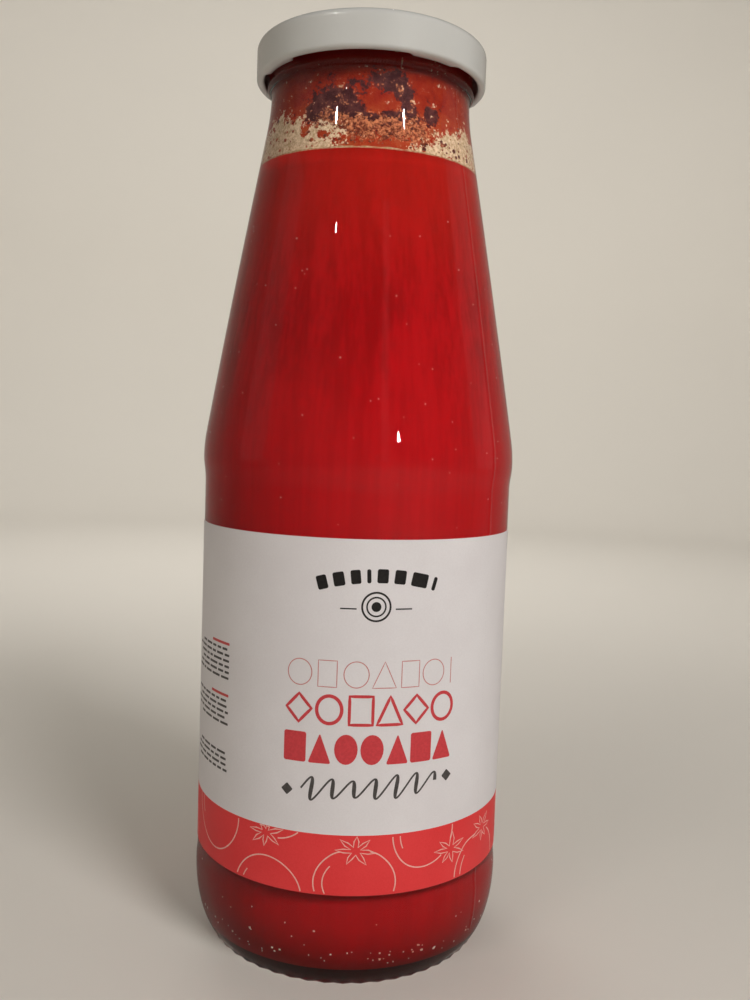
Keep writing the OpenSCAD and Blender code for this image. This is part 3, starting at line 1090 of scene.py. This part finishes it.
def fruitOutline(fruit, leaf, cutLow, cutHigh, size=1.0):
    # A generic round tomato in outline, kept between the band's edges and clear of its own leaves
    x, z, wide, tall, lean = fruit
    strokes = []
    run = []
    turn = math.radians(lean)
    for step in range(97):
        a = 2 * math.pi * (step / 96 + 0.25)
        dent = 1 - (0.10 if leaf else 0.0) * bump(turnBetween(math.degrees(a), 90) / 38)
        u = size * wide / 2 * math.cos(a) * (1 + 0.04 * math.cos(2 * a))
        v = size * tall / 2 * math.sin(a) * dent
        px = x + u * math.cos(turn) - v * math.sin(turn)
        pz = z + u * math.sin(turn) + v * math.cos(turn)
        hidden = leaf and math.hypot(px - leaf[0], (pz - leaf[1]) / 0.8) < leaf[2] * 0.62
        if cutLow <= pz <= cutHigh and not hidden:
            run.append((px, pz))
        else:
            if len(run) > 2:
                strokes.append(run)
            run = []
    if len(run) > 2:
        strokes.append(run)
    return strokes


def leafStar(leaf, rng):
    # The green star on top of a tomato, in outline: narrow pointed leaves of uneven length
    x, z, size, lean = leaf
    count = 7
    line = []
    for index in range(count):
        a = math.radians(lean + 90 + 360 * index / count + rng.uniform(-9, 9))
        reach = size * rng.uniform(0.78, 1.12)
        curl = rng.uniform(-0.12, 0.12)
        for along, side in ((0.25, -0.42), (0.60, -0.20), (1.0, 0.0), (0.60, 0.20)):
            turn = a + side + curl * along
            line.append((x + reach * along * math.cos(turn), z + reach * along * math.sin(turn) * 0.78))
    return line


def makeBandPrint():
    low, high = labelBottom + 0.25, paper["band"] - 0.2
    thin = 0.34
    shapes = []
    fruits = [(-2.8, 26.6, 18.0, 16.5, 0), (-21.5, 43.6, 17.0, 16.5, 12), (-41.5, 37.0, 18.0, 19.5, 5),
              (13.6, 37.2, 15.5, 16.5, -30), (32.0, 24.6, 17.5, 17.5, 10), (54.5, 34.5, 17.0, 17.0, -12),
              (-64.0, 25.0, 17.0, 17.0, 6), (-86.0, 35.5, 17.5, 17.0, -14), (76.0, 25.0, 17.5, 17.0, 5),
              (98.0, 35.0, 17.0, 17.0, 12), (-107.0, 25.5, 16.0, 16.5, 4), (-23.7, 22.3, 17.0, 16.8, 8)]
    leaves = [(-2.8, 34.2, 5.0, 0), (-24.0, 36.0, 4.6, 30), None, (21.3, 31.4, 4.8, 40),
              (34.0, 33.0, 4.6, 12), (57.5, 27.6, 4.6, 30), (-63.5, 33.0, 4.8, 8), (-84.0, 28.2, 4.6, 20),
              (76.5, 33.0, 4.8, 0), (99.0, 27.6, 4.6, 16), (-107.0, 33.0, 4.6, 6), None]
    rng = random.Random(47)
    for fruit, leaf in zip(fruits, leaves):
        x, z, wide, tall, lean = fruit
        for run in fruitOutline(fruit, leaf, low, high):
            shapes.append(inkLine(run, thin))
        for run in fruitOutline(fruit, None, max(low, z - tall * 0.20), min(high, z + tall * 0.24), 0.78):
            if z < 43 and sum(p[0] for p in run) / len(run) < x:
                shapes.append(inkLine(run, thin * 0.9))
        if leaf:
            points = [(px, min(max(pz, low), high)) for px, pz in leafStar(leaf, rng)]
            shapes.append(inkLine(points, thin * 0.9, True))
    layInk("bandPrint", shapes, (0.90, 0.50, 0.44), (0.86, 0.42, 0.37))


lid = {"sheet": 0.25, "round": 1.7, "curlR": 1.0, "sink": 0.8, "ringR": 21.75, "buttonR": 10,
       "buttonSink": 0.45, "slope": 1.2, "lugSpan": 26, "lugIn": 0.85, "lugH": 2.6, "lugEase": 1.8,
       "lugFade": 1.4, "lugFlat": 0.42, "lugEdge": 0.12, "steps": 216}


def riseLine(endR, fromZ, toZ, steps):
    # A soft step up in the sheet, going outwards
    line = []
    for step in range(1, steps + 1):
        t = step / steps
        z = fromZ + (toZ - fromZ) * (1 - math.cos(math.pi * t)) / 2
        line.append((endR - lid["slope"] * (1 - t), z))
    return line


def lidLine():
    topZ = lidHigh.z / mm
    r = lidHigh.x / mm
    curl, sheet, slope, corner = lid["curlR"], lid["sheet"], lid["slope"], lid["round"]
    ringR, buttonR = lid["ringR"], lid["buttonR"]
    curlC = r - curl
    curlZ = lidLow.z / mm + curl
    sunk = topZ - lid["sink"]
    button = sunk - lid["buttonSink"]
    cornerC = r - corner
    line = [(0, button)] + straightLine(2, button, buttonR - slope, button, 3)
    line += riseLine(buttonR, button, sunk, 6)
    line += straightLine(buttonR + 1, sunk, ringR - slope, sunk, 4)
    line += riseLine(ringR, sunk, topZ, 8)
    line += straightLine(ringR + 0.6, topZ, cornerC - 0.3, topZ, 3)
    line += arcLine(cornerC, topZ - corner, corner, 90, 0, 9)
    line += straightLine(r, topZ - corner - 0.6, r, curlZ + 0.5, 4)
    line += arcLine(curlC, curlZ, curl, 0, -285, 24)
    line += arcLine(curlC, curlZ, curl - sheet, -285, 0, 20)
    line += straightLine(r - sheet, curlZ + 0.5, r - sheet, topZ - corner - 0.4, 3)
    line += arcLine(cornerC, topZ - corner, corner - sheet, 0, 90, 7)
    line += [(ringR + sheet / 2, topZ - sheet), (ringR - slope + sheet / 2, sunk - sheet)]
    line += [(buttonR + sheet / 2, sunk - sheet), (buttonR - slope + sheet / 2, button - sheet)]
    return line + [(0, button - sheet)]


def makeLid():
    piece = spinLine("twistLid", lidLine(), lid["steps"])
    lowZ = lidLow.z / mm
    for vertex in piece.data.vertices:
        r, z, angle = polar(vertex.co)
        if z > lowZ + lid["lugH"]:
            continue
        press = 0
        for index in range(glass["lugCount"]):
            away = abs(turnBetween(angle, glass["firstLug"] + index * 360 / glass["lugCount"]))
            press = max(press, clamp((lid["lugSpan"] / 2 + 1.0 - away) / lid["lugEase"]))
        press *= press * (3 - 2 * press)
        inner = clamp((lidHigh.x / mm - r) / 1.2)
        fade = clamp((lowZ + lid["lugH"] - z) / lid["lugFade"])
        move = -press * fade * (lid["lugEdge"] + lid["lugIn"] * inner)
        flat = 1 - lid["lugFlat"] * press * fade * inner
        vertex.co.z = (lowZ + (z - lowZ) * flat) * mm
        pushOut(vertex, move)
    piece.data.materials.append(lacquerFinish())
    hold(piece, "lid_lacquer", "lid")
    print("lid:", len(piece.data.polygons), "faces")


placeCamera()
makeStage()
placeLamps()
makeBottle()
makeSauce()
makeSpecks()
makeNeckFilm()
makeFoamLine()
makeLabel()
makeBlackPrint()
makeRowPrints()
makeGreyPrint()
makeBandPrint()
makeLid()
